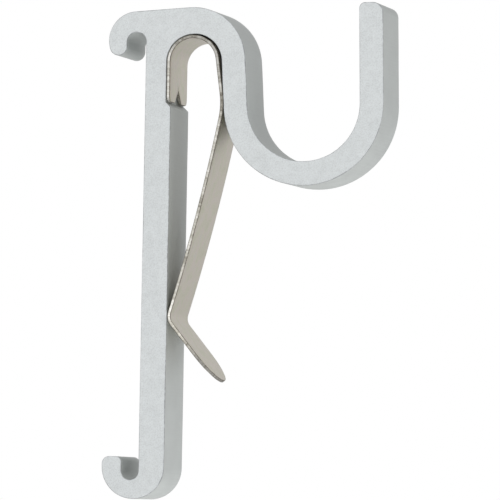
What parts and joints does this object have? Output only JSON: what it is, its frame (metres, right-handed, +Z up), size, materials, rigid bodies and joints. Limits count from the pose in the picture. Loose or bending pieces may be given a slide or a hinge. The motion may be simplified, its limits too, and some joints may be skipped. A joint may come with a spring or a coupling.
{
  "type": "headphone hook",
  "caption": "Clip-on hook for an office panel or tool rail: an extruded aluminium bar with curled seats, an arch, a J hook for a headset and a bent spring strip.",
  "frame": {"origin": "centre of the upper seat, at the middle of the extrusion's width", "axes": "+Z up along the bar, +X from the bar towards the hook, +Y along the extrusion, away from the viewer"},
  "size_m": [0.0585, 0.015, 0.1028],
  "materials": {
    "extrusion": "satin anodised, sawn ends",
    "spring": "satin rolled strip"
  },
  "bodies": {
    "hook": {"hook_body": "extrusion", "spring_bow": "spring"},
    "blade": {"spring_blade": "spring"}
  },
  "joints": [
    {"name": "blade_flex", "type": "hinge", "parent": "hook", "child": "blade", "pos_m": [0.01806, 0, -0.01566], "axis": [0, -1, 0], "range_deg": [0, 13], "stiffness_Nm_per_rad": 1.9}
  ]
}
